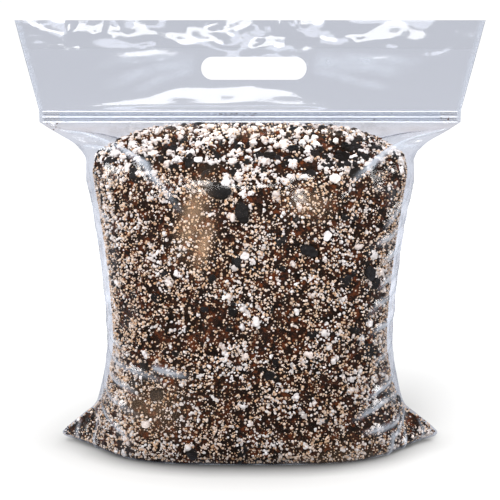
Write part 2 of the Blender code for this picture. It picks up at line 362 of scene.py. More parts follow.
# %% Draw the skin in
TOP_OF_HEAP = 0.224
SIDE_GAP = 3.0
TOP_GAP = 2.0
CROWN_HEIGHT = 0.0095
CROWN_HALF_LENGTH = 0.118
CROWN_HALF_DEPTH = 0.056


def on_top(points):
    return ease((points[:, 2] - TOP_OF_HEAP) / 0.012)


def vertex_normals(mesh):
    values = np.empty(len(mesh.vertices) * 3)
    mesh.vertices.foreach_get("normal", values)
    return values.reshape(-1, 3)


points = coordinates(heap.data).copy()
drawn = points - vertex_normals(heap.data) * (on_top(points) * TOP_GAP * MM)[:, None]
beside_weld = ease((np.abs(points[:, 0]) - 0.07) / 0.045)
loose = 1.5 * ease((points[:, 2] - 0.02) / 0.03) - 0.5
drawn[:, 0] -= np.sign(points[:, 0]) * beside_weld * loose * SIDE_GAP * MM
crown = 1 - np.abs(drawn[:, 0] / CROWN_HALF_LENGTH) ** 3
crown = crown * (1 - (drawn[:, 1] / CROWN_HALF_DEPTH) ** 2)
drawn[:, 2] += on_top(points) * np.clip(crown, -0.3, 1) * CROWN_HEIGHT
drawn[:, 2] = np.where(points[:, 2] < 0.001, points[:, 2], drawn[:, 2])
set_coordinates(heap.data, drawn)
print("top of the mix at", round(float(drawn[:, 2].max()), 4), "m")


# %% [markdown]
# ## Where the grains lie
#
# Grains are laid on the skin at random, with the same chance for every square millimetre. A slow
# wave of chance gathers them in drifts, because a shaken mix is never even. Each grain sinks until
# its top just reaches the film, which is what flattens the front of a full bag.

# %% Points on the skin
def skin_table(item):
    """Corner, edges, normal and area of each triangle of a mesh."""
    mesh = item.data
    mesh.calc_loop_triangles()
    index = np.empty(len(mesh.loop_triangles) * 3, dtype=int)
    mesh.loop_triangles.foreach_get("vertices", index)
    corners = coordinates(mesh)[index.reshape(-1, 3)]
    side_a, side_b = corners[:, 1] - corners[:, 0], corners[:, 2] - corners[:, 0]
    normal = np.cross(side_a, side_b)
    area = np.linalg.norm(normal, axis=1)
    return corners[:, 0], side_a, side_b, normal / area[:, None], area / area.sum()


skin = skin_table(heap)


def drift(points, size, seed):
    """A slow wave from 0 to 1 through space, with hills about one size apart."""
    waves = np.random.default_rng(seed)
    total = np.zeros(len(points))
    for _ in range(9):
        direction = waves.normal(size=3)
        direction *= 2 * math.pi / (size * MM * waves.uniform(0.7, 1.6)) / np.linalg.norm(direction)
        total += np.sin(points @ direction + waves.uniform(0, 2 * math.pi))
    return np.clip(0.5 + total / 6, 0, 1)


def lay_points(count, chance):
    """Points and normals on the skin; chance takes the points and gives each one's odds."""
    corner, side_a, side_b, normal, share = skin
    points, normals = np.empty((0, 3)), np.empty((0, 3))
    while len(points) < count:
        pick_of = random.choice(len(share), size=count, p=share)
        a, b = random.random((2, count, 1))
        flip = a + b > 1
        a, b = np.where(flip, 1 - a, a), np.where(flip, 1 - b, b)
        tried = corner[pick_of] + side_a[pick_of] * a + side_b[pick_of] * b
        kept = random.random(count) < chance(tried)
        points = np.concatenate([points, tried[kept]])
        normals = np.concatenate([normals, normal[pick_of][kept]])
    return points[:count], normals[:count]


# %% [markdown]
# ## The shapes of the grains
#
# Each kind of grain is modelled once or a few times and then copied. Perlite is volcanic glass
# that was heated until it popped, so a large grain is a cluster of round lobes, like popcorn.
# Charcoal breaks along flat faces. Peat and bark crumble into short flakes. A copy is turned,
# stretched and dented at random, and carries its own tint in a colour attribute.

# %% Seed shapes
def ball(detail):
    """The corners and triangles of an icosphere of radius 1."""
    bpy.ops.mesh.primitive_ico_sphere_add(subdivisions=detail, radius=1)
    item = bpy.context.object
    index = np.empty(len(item.data.polygons) * 3, dtype=int)
    item.data.polygons.foreach_get("vertices", index)
    shape = coordinates(item.data).copy(), index.reshape(-1, 3)
    bpy.data.objects.remove(item, do_unlink=True)
    return shape


def cluster(beads):
    """Round beads stuck together, as popped grains of perlite are."""
    bead, bead_faces = ball(1)
    corners, faces = [], []
    for number in range(beads):
        direction = random.normal(size=3)
        direction *= random.uniform(0.4, 0.62) / np.linalg.norm(direction)
        size = random.uniform(0.34, 0.52)
        corners.append(bead * size + direction * (number > 0))
        faces.append(bead_faces + number * len(bead))
    return np.concatenate(corners), np.concatenate(faces)


def broken(detail, cuts):
    """A ball cut flat by random planes, as a brittle lump breaks."""
    corners, faces = ball(detail)
    planes = random.normal(size=(cuts, 3))
    planes /= np.linalg.norm(planes, axis=1)[:, None]
    height = random.uniform(0.55, 0.95, cuts)
    facing = np.maximum(corners @ planes.T, 1e-3)
    swell = np.minimum((height / facing).min(axis=1), 1.0)
    return corners * swell[:, None], faces


def spindle(sides):
    """A bipyramid, the cheapest shape that still reads as round."""
    turn = np.arange(sides) * 2 * math.pi / sides
    ring = np.stack([np.cos(turn), np.sin(turn), 0 * turn], axis=1)
    corners = np.concatenate([ring, [(0, 0, 1), (0, 0, -1)]])
    faces = [(i, (i + 1) % sides, sides) for i in range(sides)]
    faces += [((i + 1) % sides, i, sides + 1) for i in range(sides)]
    return corners, np.array(faces)


# %% [markdown]
# A field of grains is one mesh, because tens of thousands of objects would be slow. numpy turns,
# stretches, dents and places every copy at once. The part of a grain that would stick out past the
# film is pressed back towards it, and nothing goes under the floor.

# %% Lay a field of grains
def random_turns(count):
    """Rotation matrices for random directions."""
    q = random.normal(size=(count, 4))
    w, x, y, z = (q / np.linalg.norm(q, axis=1)[:, None]).T
    return np.stack([
        np.stack([1 - 2 * (y * y + z * z), 2 * (x * y - z * w), 2 * (x * z + y * w)], axis=1),
        np.stack([2 * (x * y + z * w), 1 - 2 * (x * x + z * z), 2 * (y * z - x * w)], axis=1),
        np.stack([2 * (x * z - y * w), 2 * (y * z + x * w), 1 - 2 * (x * x + y * y)], axis=1)],
        axis=1)


def mesh_from_arrays(name, corners, faces, smooth):
    mesh = bpy.data.meshes.new(name)
    mesh.vertices.add(len(corners))
    mesh.vertices.foreach_set("co", np.ascontiguousarray(corners, dtype=float).ravel())
    mesh.loops.add(faces.size)
    mesh.loops.foreach_set("vertex_index", np.ascontiguousarray(faces).ravel())
    mesh.polygons.add(len(faces))
    mesh.polygons.foreach_set("loop_start", np.arange(0, faces.size, 3))
    mesh.polygons.foreach_set("use_smooth", np.full(len(faces), smooth))
    mesh.update(calc_edges=True)
    return mesh


LOWEST = 0.0001


def field_of_grains(name, shapes, points, normals, sizes, stretch, palette, smooth, dent, proud):
    """One object that holds a grain at each point.

    sizes are diameters in millimetres. proud is how far a grain's top stands over the skin, in
    millimetres. stretch is the least and the most that a grain is squeezed along each axis.
    """
    count = len(points)
    turns = random_turns(count)
    squeeze = random.uniform(*stretch, (count, 3))
    radius = sizes / 2 * MM
    sunk = radius * random.uniform(0.4, 0.7, count)
    proud = np.broadcast_to(proud, count) * MM
    centres = points - normals * sunk[:, None]
    tints = np.array([linear(colour) for colour in palette])
    tint = tints[random.integers(len(tints), size=count)]
    tint[:, :3] *= random.uniform(0.82, 1.08, (count, 1))
    all_corners, all_faces, all_tints, start = [], [], [], 0
    kind = random.integers(len(shapes), size=count)
    for number, (corners, faces) in enumerate(shapes):
        mine = np.flatnonzero(kind == number)
        if not len(mine):
            continue
        shape = corners[None] * squeeze[mine][:, None]
        shape = shape * (1 + dent * random.normal(size=(len(mine), len(corners), 1)))
        placed = np.einsum("nij,nvj->nvi", turns[mine], shape) * radius[mine][:, None, None]
        height = np.einsum("nvj,nj->nv", placed, normals[mine]) - sunk[mine][:, None]
        most = proud[mine][:, None]
        pressed = np.where(height > 0, most * (1 - np.exp(-height / most)), height) - height
        placed += centres[mine][:, None] + normals[mine][:, None] * pressed[:, :, None]
        placed[:, :, 2] = np.maximum(placed[:, :, 2], LOWEST)
        offset = start + np.arange(len(mine))[:, None, None] * len(corners)
        all_corners.append(placed.reshape(-1, 3))
        all_faces.append((faces[None] + offset).reshape(-1, 3))
        all_tints.append(np.repeat(tint[mine], len(corners), axis=0))
        start += len(mine) * len(corners)
    mesh = mesh_from_arrays(name, np.concatenate(all_corners), np.concatenate(all_faces), smooth)
    colours = mesh.color_attributes.new("tint", "FLOAT_COLOR", "POINT")
    colours.data.foreach_set("color", np.concatenate(all_tints).ravel())
    item = bpy.data.objects.new(name, mesh)
    scene.collection.objects.link(item)
    print(name, "has", count, "grains and", len(mesh.polygons), "triangles")
    return item


# %% [markdown]
# ## Finishes of the mix
#
# Expanded perlite is matt and white with a warm cast, and the small shadows in its bubbles are
# painted into its colour. Charcoal is black with a faint graphite sheen on its broken faces. Peat and
# coir run from rust to almost black. All are rough, so their colour does the work: each grain's tint
# comes from its attribute, and painted shade darkens it in the pits of its bump.

# %% Materials of the mix
def grain_material(name, roughness, spot_mm, spot_depth, shade):
    """A rough grain: its own tint, darkened in its pits by painted shade, with a bump of the pits'
    real size.
    """
    material, output = new_material(name)
    tint = add(material, "Attribute", attribute_name="tint")
    place = add(material, "TexCoord")
    pits = add(material, "TexNoise", {
        "Vector": place.outputs["Object"], "Scale": 1 / (spot_mm * MM), "Detail": 3.0})
    # Painted shade: the low parts of the pit noise darken the grain's tint.
    painted_pit_shade = add(material, "Mix", {
        "Factor": pits.outputs[0], "A": linear(shade), "B": linear("#ffffff")},
        data_type="RGBA")
    colour = add(material, "Mix", {
        "Factor": 1.0, "A": tint.outputs["Color"], "B": painted_pit_shade.outputs["Result"]},
        data_type="RGBA", blend_type="MULTIPLY")
    relief = add(material, "Bump", {
        "Height": pits.outputs[0], "Distance": spot_depth * MM, "Strength": 1.0})
    skin_of = add(material, "BsdfPrincipled", {
        "Base Color": colour.outputs["Result"], "Normal": relief.outputs["Normal"],
        "Roughness": roughness, "Specular IOR Level": 0.3})
    return finish_material(material, output, skin_of)


PERLITE_TINTS = ("#f4efec", "#efe6e0", "#f7f4f2", "#e6dad2", "#f0ebe8")
SPECK_TINTS = ("#e8d6c5", "#d9bda0", "#efe4dc", "#c9a582", "#ebdccf", "#dfc5ab")
PEAT_TINTS = ("#180b05", "#2b1409", "#4d250e", "#0f0704", "#371a0b", "#683514", "#080402", "#472610")
CHARCOAL_TINTS = ("#0a0b0c", "#121315", "#060607", "#17171a")

perlite = grain_material("expanded perlite", 0.95, 1.6, 0.5, "#b9b0aa")
specks = grain_material("perlite fines", 0.95, 1.0, 0.2, "#c9b8a8")
charcoal = grain_material("broken charcoal", 0.55, 1.2, 0.35, "#6a6a70")
peat_crumb = grain_material("peat and coir crumbs", 0.9, 0.8, 0.3, "#7a5a48")


def peat_material():
    """Damp peat: rust and near-black patches of a few millimetres, with a granular bump."""
    material, output = new_material("damp peat")
    place = add(material, "TexCoord")
    patches = add(material, "TexNoise", {
        "Vector": place.outputs["Object"], "Scale": 1 / (7 * MM), "Detail": 5.0, "Roughness": 0.7})
    ramp = add(material, "ValToRGB", {"Fac": patches.outputs[0]})
    ramp.color_ramp.elements[0].position = 0.36
    ramp.color_ramp.elements[0].color = linear("#030201")
    ramp.color_ramp.elements[1].position = 0.68
    ramp.color_ramp.elements[1].color = linear("#663012")
    middle = ramp.color_ramp.elements.new(0.52)
    middle.color = linear("#210f06")
    grit = add(material, "TexNoise", {
        "Vector": place.outputs["Object"], "Scale": 1 / (1.5 * MM), "Detail": 4.0})
    relief = add(material, "Bump", {
        "Height": grit.outputs[0], "Distance": 0.6 * MM, "Strength": 1.0})
    soil = add(material, "BsdfPrincipled", {
        "Base Color": ramp.outputs["Color"], "Normal": relief.outputs["Normal"],
        "Roughness": 0.9, "Specular IOR Level": 0.2})
    return finish_material(material, output, soil)


# %% [markdown]
# ## Laying the mix
#
# The largest grains go where the bag was filled last, on top of the heap, and a few show low down.
# Fine perlite is nearly everywhere, in drifts. Counts follow from coverage: about a third of the
# skin shows white, and a fine grain covers some three square millimetres.

# %% Where each kind is likely
def above_floor(points):
    return points[:, 2] > 0.002


def back_of_top(points):
    """Less white at the back of the top, where bare peat shows."""
    return 1 - 0.6 * on_top(points) * ease((points[:, 1] + 0.012) / 0.02)


def right_side(points):
    """The mix on the right settled with less perlite in it."""
    return ease((points[:, 0] - 0.04) / 0.06)


def fines_chance(points):
    drifts = 0.2 + 0.8 * drift(points, 30, 3) ** 1.5
    drifts *= 1 - 0.4 * right_side(points)
    return above_floor(points) * drifts * (1 - 0.6 * on_top(points)) * back_of_top(points)


def cluster_chance(points):
    drifts = 0.06 + drift(points, 28, 11) ** 3.5
    return above_floor(points) * drifts * (0.6 + 0.6 * on_top(points)) * back_of_top(points)


def coarse_chance(points):
    drifts = 0.02 + 0.25 * drift(points, 45, 5) ** 3
    return above_floor(points) * (drifts + 0.8 * on_top(points)) * back_of_top(points)


def specks_chance(points):
    drifts = 0.25 + 0.75 * drift(points, 18, 31)
    drifts *= 1 - 0.3 * right_side(points)
    return above_floor(points) * drifts * (1 - 0.65 * on_top(points)) * back_of_top(points)


def crumb_chance(points):
    return above_floor(points) * 1.0


def lump_chance(points):
    return above_floor(points) * (0.2 * drift(points, 35, 21) + 0.8 * on_top(points))


# %% Lay the mix
def diameters(count, small, large, skew=2.0):
    """Random sizes, with more small ones than large."""
    return small + (large - small) * random.random(count) ** skew


def lay_grains(name, count, chance, make_shapes, sizes, squeeze, tints, smooth, dent, proud,
               finish):
    """Lay one kind of grain.

    sizes is the least and the greatest diameter and their skew. proud is how far the tops stand
    over the skin at the sides, and how much further they do on top of the heap.
    """
    points, normals = lay_points(count, chance)
    item = field_of_grains(name, make_shapes(), points, normals, diameters(count, *sizes),
                           squeeze, tints, smooth, dent, proud[0] + proud[1] * on_top(points))
    item.data.materials.append(finish)
    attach(item, "root")
    return len(item.data.polygons)


def popped_grains():
    return [cluster(beads) for beads in (1, 2, 1, 2, 2)]


def popped_lumps():
    return [cluster(beads) for beads in (8, 8, 8, 8, 11, 11, 11, 11)]


def broken_lumps():
    return [broken(2, 9) for _ in range(6)]


triangles = lay_grains(
    "perlite_fines", 11500, fines_chance, lambda: [spindle(6)], (1.4, 3.2), (0.75, 1.1),
    SPECK_TINTS, True, 0.10, (0.25, 1.0), specks)
triangles += lay_grains(
    "perlite_dust", 17000, specks_chance, lambda: [spindle(4)], (0.8, 1.8, 1.0), (0.75, 1.2),
    SPECK_TINTS, True, 0.10, (0.15, 1.0), specks)
triangles += lay_grains(
    "perlite_medium", 5600, cluster_chance, popped_grains, (3.0, 6.6, 1.8), (0.85, 1.15),
    PERLITE_TINTS, True, 0.05, (0.3, 1.2), perlite)
triangles += lay_grains(
    "perlite_coarse", 520, coarse_chance, popped_lumps, (6.0, 11.5, 1.3), (0.85, 1.1),
    PERLITE_TINTS, True, 0.03, (0.3, 1.6), perlite)
triangles += lay_grains(
    "charcoal_pieces", 420, lump_chance, broken_lumps, (4.0, 14.0, 1.5), (0.6, 1.1),
    CHARCOAL_TINTS, False, 0.02, (0.15, 1.0), charcoal)
triangles += lay_grains(
    "peat_crumbs", 7500, crumb_chance, lambda: [spindle(6)], (1.6, 5.5, 2.0), (0.35, 1.2),
    PEAT_TINTS, False, 0.15, (0.1, 0.8), peat_crumb)
print("all grains:", triangles, "triangles")

# %% [markdown]
# The peat itself lies just under the grains: the skin sinks by a grain's depth, and noise at two
# sizes turns it into crumbs and hollows.

# %% Roughen the peat
PEAT_DEPTH = 2.3
normals = vertex_normals(heap.data)
points = coordinates(heap.data).copy()
rough = np.array([
    noise.noise(Vector(p) / (6 * MM)) * 1.1 + noise.noise(Vector(p) / (2.4 * MM)) * 0.7
    for p in points])
sink = np.where(points[:, 2] < 0.002, 0.0, PEAT_DEPTH - rough)
set_coordinates(heap.data, points - normals * sink[:, None] * MM)
heap.data.materials.append(peat_material())
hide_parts("potting_mix")
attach(heap, "root")
print("peat sinks", round(float(sink.max()), 1), "mm at most")


# %% [markdown]
# ## The lumps that are pieces of their own
#
# The frame holds the largest lumps as single pieces, each in its own pocket. A copy of each is
# remeshed finely and pushed in and out, in flat chips for charcoal and round lobes for perlite.

# %% Refine the large lumps
def refine_lump(node, voxel_mm, lobe_mm, height_mm, material, tints):
    lump = copy_of_node(node, node + "_detail")
    apply_modifier(lump, "REMESH", mode="VOXEL", voxel_size=voxel_mm * MM)
    normals = vertex_normals(lump.data)
    points = coordinates(lump.data).copy()
    push = np.empty(len(points))
    for i, point in enumerate(points):
        near = noise.voronoi(Vector(point) / (lobe_mm * MM))[0][0]
        push[i] = -near * height_mm * MM
    set_coordinates(lump.data, points + normals * push[:, None])
    lump.data.shade_smooth()
    colour = lump.data.color_attributes.new("tint", "FLOAT_COLOR", "POINT")
    chosen = linear(tints[int(random.integers(len(tints)))])
    colour.data.foreach_set("color", np.tile(chosen, len(points)))
    lump.data.materials.append(material)
    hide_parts(node)
    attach(lump, "root")
    print(lump.name, "has", len(lump.data.polygons), "faces")


for node in sorted(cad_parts):
    if node.startswith("charcoal_lump"):
        refine_lump(node, 0.7, 4.0, 1.3, charcoal, CHARCOAL_TINTS)
    if node.startswith("perlite_grain"):
        refine_lump(node, 0.6, 3.4, 1.8, perlite, PERLITE_TINTS)


# %% [markdown]
# ## The film
#
# A flat film can't follow a rounded heap: along the side welds it has a fifth more length than it
# needs, and that spare length is what creases. The film starts as a flat grid set on the formula's
# surface, with finer rows across the zip. Each point keeps its place on the flat film, in
# millimetres from the centre line and from the bottom fold, because creases and crinkles are
# pressed into the film and not into the space round it.

# %% Make the film from a grid
COLUMNS = 168
ups = np.concatenate([np.linspace(0, 362, 169)[:-1], np.linspace(362, 376, 15)[:-1],
                      np.linspace(376, FILM_LENGTH, 41)])
ROWS = len(ups) - 1

bpy.ops.mesh.primitive_grid_add(x_subdivisions=COLUMNS, y_subdivisions=ROWS, size=2)
film = bpy.context.object
film.name = "clear_film"
grid = coordinates(film.data).copy()
column = np.rint((grid[:, 0] + 1) / 2 * COLUMNS).astype(int)
row = np.rint((grid[:, 1] + 1) / 2 * ROWS).astype(int)
placed = even_panel(ups, COLUMNS)[row, column] * MM
placed[np.abs(placed[:, 1]) < 1e-6, 1] = 0
set_coordinates(film.data, placed)
half_widths = ZIP_HALF_WIDTH + (HEADER_TOP_HALF_WIDTH - ZIP_HALF_WIDTH) * np.clip(
    (ups - BODY_LENGTH - ZIP_HEIGHT) / HEADER_HEIGHT, 0, 1)
across = 2 * column / COLUMNS - 1
flat_place = np.stack([across * half_widths[row], ups[row], across], axis=1)
film.data.attributes.new("film_place", "FLOAT_VECTOR", "POINT")
film.data.attributes["film_place"].data.foreach_set("vector", flat_place.ravel())
if vertex_normals(film.data)[:, 1].mean() > 0:
    pick(film)
    bpy.ops.object.mode_set(mode="EDIT")
    bpy.ops.mesh.select_all(action="SELECT")
    bpy.ops.mesh.flip_normals()
    bpy.ops.object.mode_set(mode="OBJECT")
apply_modifier(film, "MIRROR", use_axis=(False, True, False), merge_threshold=0.00001)
print("film:", len(film.data.vertices), "points")


# %% [markdown]
# Spare film gathers in creases: straight tents with a sharp ridge, which start at a weld and die
# out over the flat of the panel. On the front each one has its own place. They run from the ends of
# the zip down over the shoulders, up and outwards to the welds on both sides, and in a fan round
# each lower corner. Each crease is a route over the flat film, its half width and its height, all
# in millimetres.

# %% Where the creases run
SHOULDER = [
    ([(-162, 350), (-139, 341), (-120, 324), (-83, 301), (-65, 281), (-48, 259)], 5.5, 2.6),
    ([(165, 355), (138, 332), (124, 320), (103, 304), (83, 291), (74, 284)], 5.5, 2.6),
    ([(-150, 322), (-133, 320), (-112, 316)], 4.5, 1.4),
    ([(150, 322), (133, 320), (118, 312)], 4.5, 1.4),
]
LEFT_SIDE = [
    ([(-160, 274), (-130, 264), (-110, 252)], 5.0, 1.8),
    ([(-160, 250), (-139, 244), (-120, 234)], 5.0, 1.6),
    ([(-160, 228), (-137, 222), (-114, 216)], 5.0, 1.5),
    ([(-158, 196), (-138, 190), (-121, 184)], 4.5, 1.4),
    ([(-155, 166), (-121, 156), (-104, 152)], 4.5, 1.6),
    ([(-158, 148), (-113, 139), (-83, 137), (-66, 133)], 5.0, 1.6),
    ([(-80, 145), (-47, 139)], 5.5, 1.6),
    ([(-164, 122), (-120, 124), (-97, 121), (-88, 117)], 5.0, 1.8),
    ([(-160, 104), (-109, 106), (-85, 100)], 5.0, 1.8),
    ([(-158, 84), (-112, 86), (-90, 78)], 5.0, 1.8),
]
RIGHT_SIDE = [
    ([(158, 292), (130, 270), (116, 256), (106, 246)], 5.5, 2.2),
    ([(150, 262), (129, 250), (115, 242), (99, 237)], 5.0, 1.8),
    ([(158, 246), (134, 236), (121, 228), (108, 220)], 5.5, 2.0),
    ([(160, 218), (136, 211), (116, 208), (104, 199)], 5.0, 1.8),
    ([(155, 202), (123, 195), (106, 190), (94, 180)], 5.0, 1.8),
    ([(158, 181), (131, 174), (108, 170), (98, 165)], 5.5, 2.2),
    ([(160, 156), (130, 148), (112, 143), (102, 138)], 5.0, 1.8),
    ([(162, 128), (139, 119), (110, 118), (88, 111)], 5.5, 2.2),
    ([(162, 100), (145, 95), (115, 106), (96, 104), (78, 98)], 5.5, 2.4),
    ([(160, 70), (140, 74), (110, 84), (86, 88)], 7.0, 2.2),
    ([(164, 58), (139, 66), (117, 71), (104, 40)], 5.0, 2.2),
]
CORNERS = [
    ([(side * 164, 52), (side * 141, 66), (side * 138, 50), (side * 120, 22)], 5.0, 2.2)
    for side in (-1, 1)] + [
    ([(side * 163, 28), (side * 150, 16), (side * 138, 4)], 4.5, 1.6) for side in (-1, 1)]
FRONT_CREASES = SHOULDER + LEFT_SIDE + RIGHT_SIDE + CORNERS
CREASE_LIFT = 1.7


def back_creases():
    """Creases on the back panel, from each side weld inwards, at random places."""
    made = []
    for side in (-1, 1):
        for start in np.arange(60, 300, 27) + random.uniform(-11, 11, 9):
            reach, fall = random.uniform(25, 95), random.uniform(2, 34)
            made.append(([(side * 162, start), (side * (162 - reach / 2), start - fall * 0.4),
                          (side * (162 - reach), start - fall)],
                         random.uniform(3.5, 7.0), random.uniform(0.6, 2.4)))
        made.append(([(side * 165, 355), (side * 124, 320), (side * 80, 288)], 5.5, 2.6))
    return made


def crease_height(x, up, path, width, height):
    """Height of one crease at each point of the film, in millimetres."""
    path = np.array(path, dtype=float)
    steps = np.diff(path, axis=0)
    lengths = np.linalg.norm(steps, axis=1)
    run = np.concatenate([[0], np.cumsum(lengths)])
    nearest = np.full(len(x), 1e9)
    along = np.zeros(len(x))
    for start, step, length, so_far in zip(path, steps, lengths, run):
        part = ((x - start[0]) * step[0] + (up - start[1]) * step[1]) / length ** 2
        part = np.clip(part, 0, 1)
        distance = np.hypot(x - start[0] - step[0] * part, up - start[1] - step[1] * part)
        closer = distance < nearest
        nearest[closer] = distance[closer]
        along[closer] = (so_far + part * length)[closer] / run[-1]
    rise = ease(along / 0.12) * ease((1 - along) / 0.35)
    return height * rise * np.maximum(1 - nearest / width, 0) ** 1.15


# %% [markdown]
# The header is two flat layers that hang free, so it crinkles more finely. Four things shape it:
# a bulge that springs from the zip and ends in an arc under the hand hole, the upper edge leaning
# back in two long flats, billows and fine crinkles in its upper half, and small folds that radiate
# from the hole. ARC and LEAN give the height over the zip where the bulge ends and the lean starts,
# at places across the header, all in millimetres.

# %% Shape of the header
ARC = np.array([(-163, 1), (-121, 5), (-89, 10), (-54, 18), (0, 19.5), (31, 15.5), (70, 3),
                (85, 0), (108, 0), (120, 3.5), (145, 4), (164, 1)])
LEAN = np.array([(-183, 70), (-150, 60), (-142, 47), (-116, 47), (-93, 50), (-66, 52), (-43, 51),
                 (-10, 46), (25, 52), (39, 58), (63, 49), (87, 53), (106, 55), (130, 56),
                 (145, 70), (183, 70)])
HOLE_WIDTH, HOLE_HEIGHT = 82.0, 17.8
HOLE_CENTRE = (3.0, 407.0)


def ripple(x, up, size_x, size_up, seed, sharp=False):
    """Smooth noise over the film, with its own sizes across and up; sharp folds it into ridges."""
    values = np.array([
        noise.noise(Vector((a, b, seed))) for a, b in zip(x / size_x, up / size_up)])
    return 1 - 2 * np.abs(values) if sharp else values


def header_shape(x, up, layer):
    """How far the header moves towards the front, and apart, in millimetres."""
    height = up - BODY_LENGTH - ZIP_HEIGHT
    arc = np.interp(x, ARC[:, 0], ARC[:, 1])
    bulge = 0.19 * np.maximum(arc - height, 0) * ease(height / 4)
    bulge = bulge * (0.9 + 0.5 * ripple(x, up, 45, 10, 14.0 + layer))
    lean = 0.20 * np.maximum(height - np.interp(x, LEAN[:, 0], LEAN[:, 1]), 0)
    lean = lean * np.clip(0.5 + 1.6 * ripple(x, up, 36, 18, 11.0 + layer), 0.0, 1.3)
    middle = np.exp(-((x - 5) / 55) ** 2) * ease((height - 30) / 25)
    patches = ease(ripple(x, up, 55, 30, 2.0 + layer) * 2.2 + 0.2)
    fold = ripple(x, up, 15, 12, 7.5 + layer, sharp=True)
    fine = ripple(x, up, 6.5, 5.5, 3.1 + layer, sharp=True)
    slow = ripple(x, up, 70, 45, 9.0)
    spread = 0.05 + 0.6 * middle + 0.45 * patches * ease(height / 25 - 1.0)
    crinkle = (fold * 1.6 + fine * 0.6) * spread
    edge = ease((np.abs(x) - 150) / 20) * ripple(x, up, 9, 7, 5.0 + layer, sharp=True) * 0.5
    inside = ease(height / 5)
    billow = ripple(x, up, 30, 15, 15.0 + layer) * 1.5 + ripple(x, up, 12, 9, 16.0 + layer) * 0.3
    beside_hole = np.maximum(np.abs(x - HOLE_CENTRE[0]) - 34, 0)
    from_hole = np.hypot(beside_hole, up - HOLE_CENTRE[1])
    upper_half = 0.3 + 0.7 * ease((height - 34) / 16)
    crinkle = crinkle + billow * upper_half * ease((from_hole - 8) / 16)
    return (-lean + slow * 0.8) * inside, (bulge + (crinkle + edge) * inside)


HOLE_FOLDS = [
    ([(-40, 411), (-75, 406), (-120, 392)], 6.0, 0.45),
    ([(-40, 415), (-80, 416), (-125, 408)], 5.0, 0.4),
    ([(-41, 407), (-70, 398), (-96, 386)], 4.5, 0.4),
    ([(46, 411), (85, 408), (130, 402)], 6.0, 0.45),
    ([(46, 416), (90, 414), (140, 412)], 6.0, 0.5),
    ([(46, 407), (80, 398), (112, 390)], 4.5, 0.4),
]

# %% [markdown]
# Now the creases, ripples and header shape are added up, and each point moves along its normal.
# Ripples run finely across the side welds, and the shoulder buckles in soft waves. Everything dies
# out at the zip, the bottom fold and the welds, where the two layers are held. A grey layer runs
# along each crease, less near the welds, and in patches: partly the milky whitening of creased
# film, and partly a painted highlight on the crease, and round the hand hole a painted shade in
# the folds.

# %% Press the creases in
def film_places():
    """The place of each point on the flat film: x, up, and from -1 to 1 across."""
    place = np.empty(len(film.data.vertices) * 3)
    film.data.attributes["film_place"].data.foreach_get("vector", place)
    return place.reshape(-1, 3).T


START_GAP = 0.5
MILKY_AND_SHADED_WIDTH = 3.4
film_x, film_up, film_across = film_places()
now = coordinates(film.data).copy()
front = now[:, 1] <= 0
layer_up = film_up + np.where(front, 0.0, 360.0)
side = ease((np.abs(film_across) - 0.62) / 0.3)
lift = np.full(len(now), START_GAP)
crease_whitening_and_shading = np.zeros(len(now))

at_weld = ease((np.abs(film_x) - 118) / 30) * ease((305 - film_up) / 20)
crease_lift = CREASE_LIFT * (1 - 0.8 * at_weld)
for creases, on_panel in ((FRONT_CREASES, front), (back_creases(), ~front)):
    for path, width, height in creases:
        lift += crease_height(film_x, film_up, path, width, height) * on_panel * crease_lift
        from_zip = path[0][1] > 330
        ridge = crease_height(film_x, film_up, path, MILKY_AND_SHADED_WIDTH, 1.3)
        crease_whitening_and_shading += ridge * on_panel * (1.4 if from_zip else 1.0)
# Round the hand hole the grey crease layer paints shade in the folds.
for path, width, height in HOLE_FOLDS:
    crease_whitening_and_shading += crease_height(film_x, film_up, path, width, height) * front

# %% Add the ripples
slant = layer_up - 0.7 * np.abs(film_x)
lift += side * np.maximum(ripple(film_x, slant, 40, 9, 1.0, sharp=True), 0) * 0.9
lift += np.maximum(ripple(film_x, layer_up, 38, 46, 4.0), 0) * 1.2 * (1 - side)
shoulder = np.exp(-((film_up - 285) / 26) ** 2)
lift += shoulder * np.maximum(ripple(film_x, layer_up, 27, 19, 6.0) + 0.15, 0) * 3.4
near_zip = ease((film_up - 300) / 30)
rolls = ripple(film_x, film_up + np.where(front, 0.0, 40.0), 60, 5.0, 8.0, sharp=True)
lift += near_zip * np.maximum(rolls, 0) * 0.5
body = ease((BODY_LENGTH - 2 - film_up) / 12) * ease(now[:, 2] / 0.004)
free = 1 - np.abs(film_across) ** 16
lift *= body * free

# %% Make the milky, painted crease lines patchy
patchy = 0.75 + 0.9 * ripple(film_x, layer_up, 16, 7, 12.0)
crease_whitening_and_shading *= np.clip(patchy, 0.1, 1.2) * np.where(front, 1.1 + 0.5 * (film_x > 60), 0.6)
crease_whitening_and_shading *= 1 - 0.55 * ease((np.abs(film_across) - 0.72) / 0.2) * (film_up < 310)
weld = ease((np.abs(film_across) - 0.968) / 0.012) * ease((film_up - BODY_LENGTH) / 4)
crease_whitening_and_shading += weld * (0.12 + 0.3 * ripple(film_x, film_up, 50, 1.8, 13.0, sharp=True))

